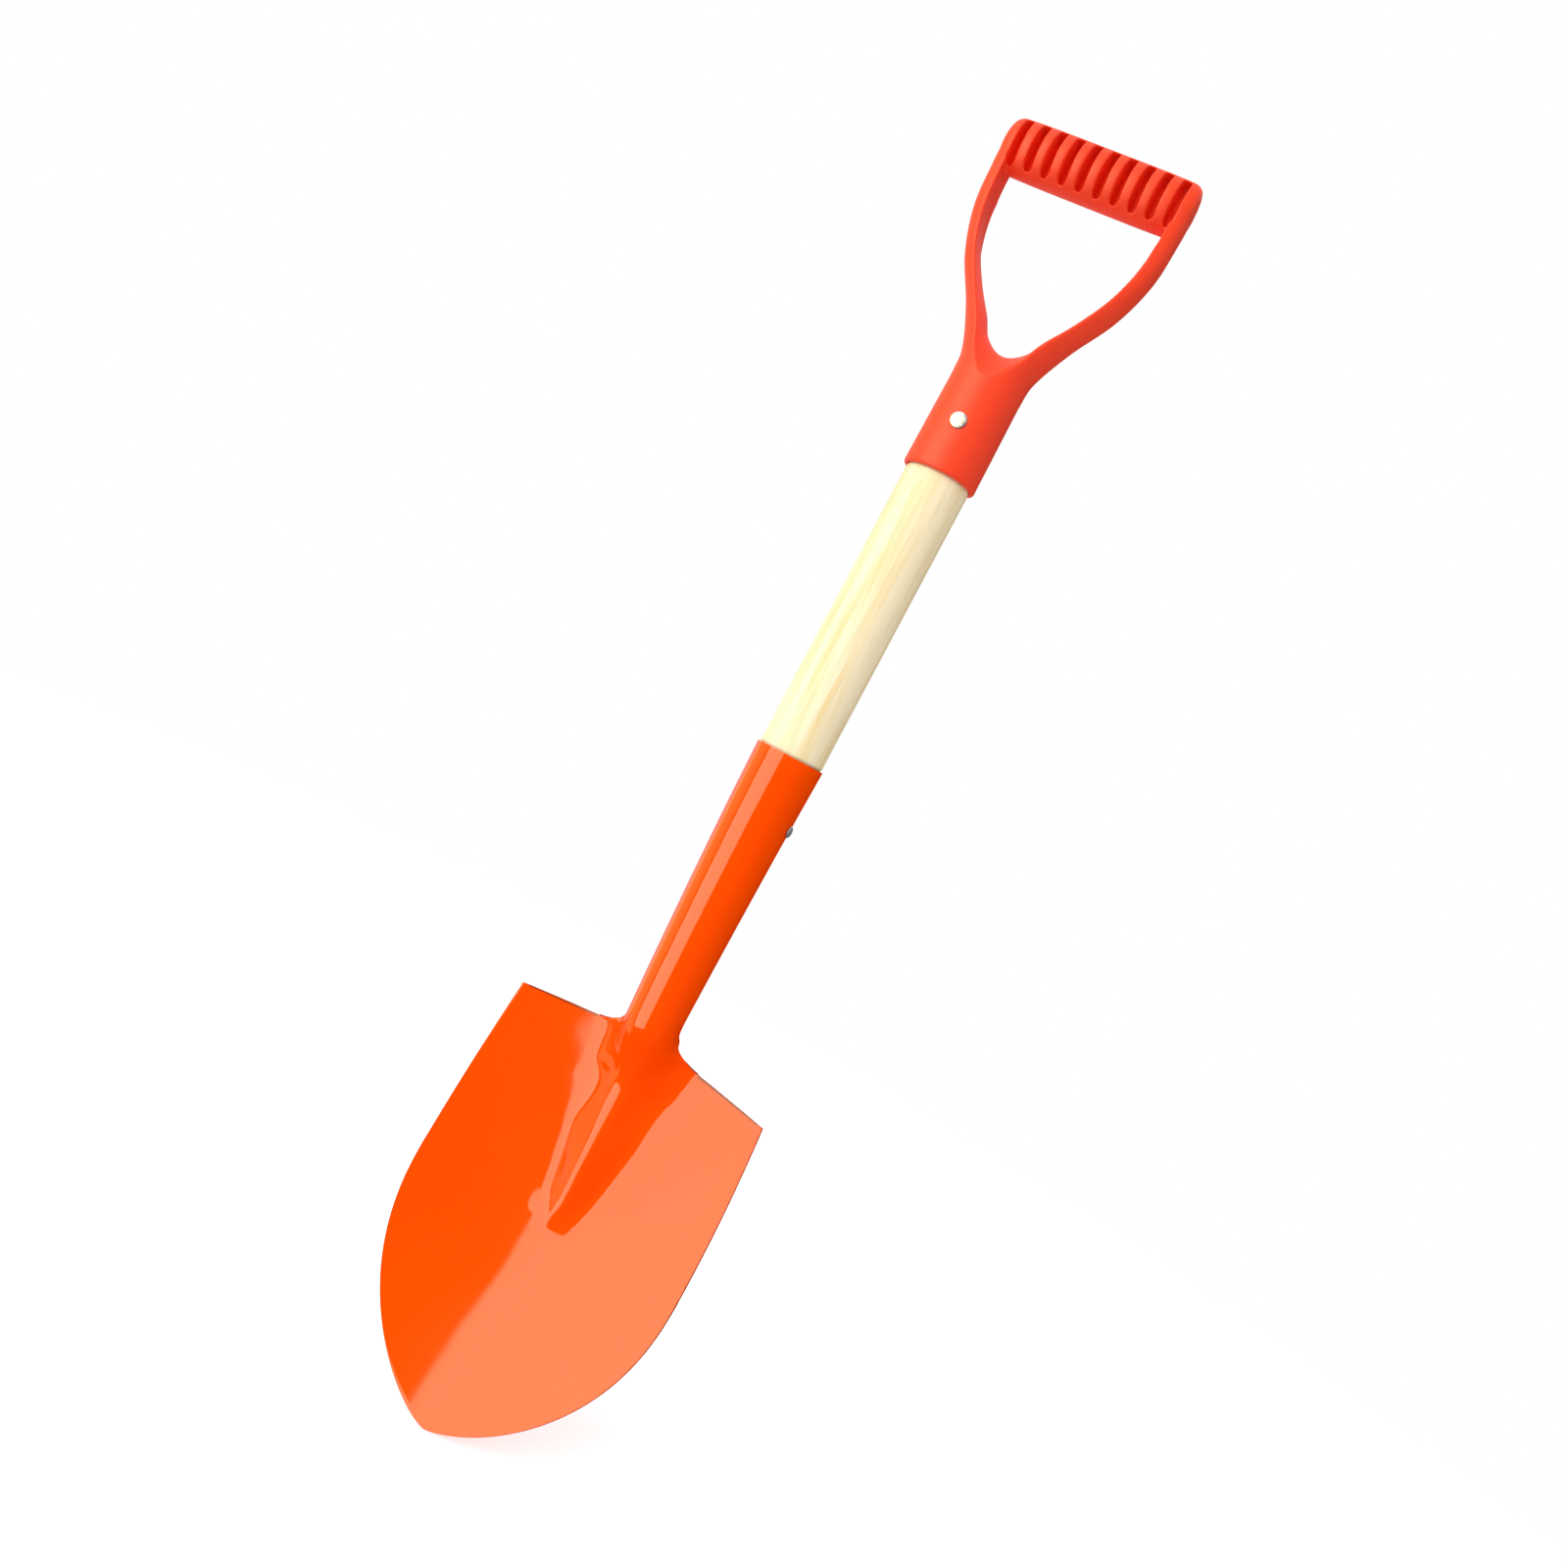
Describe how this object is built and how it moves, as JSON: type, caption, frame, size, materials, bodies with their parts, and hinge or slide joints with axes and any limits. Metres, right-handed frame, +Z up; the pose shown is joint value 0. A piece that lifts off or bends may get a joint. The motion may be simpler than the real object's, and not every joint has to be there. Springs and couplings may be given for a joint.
{
  "type": "garden shovel",
  "caption": "Short round-point garden shovel: dished enamelled steel blade with a rolled socket, turned wooden shaft and moulded plastic D-handle with a ribbed grip.",
  "frame": {"origin": "middle of the underside of the grip, where a hook carries the shovel", "axes": "+Z up along the shaft towards the grip, -Y towards the front of the blade, the side that carries the soil, +X to the right of someone facing that side"},
  "size_m": [0.155, 0.0423, 0.7016],
  "materials": {
    "orange_enamel": "glossy orange enamel on pressed steel",
    "pale_wood": "smooth turned pale hardwood",
    "red_plastic": "half-gloss moulded polypropylene",
    "zinc_plated_steel": "bright zinc plate"
  },
  "bodies": {
    "root": {"blade": "orange_enamel", "shaft": "pale_wood", "d_handle": "red_plastic", "handle_rivet": "zinc_plated_steel", "handle_rivet_washer": "zinc_plated_steel", "socket_nail": "zinc_plated_steel"}
  },
  "joints": []
}
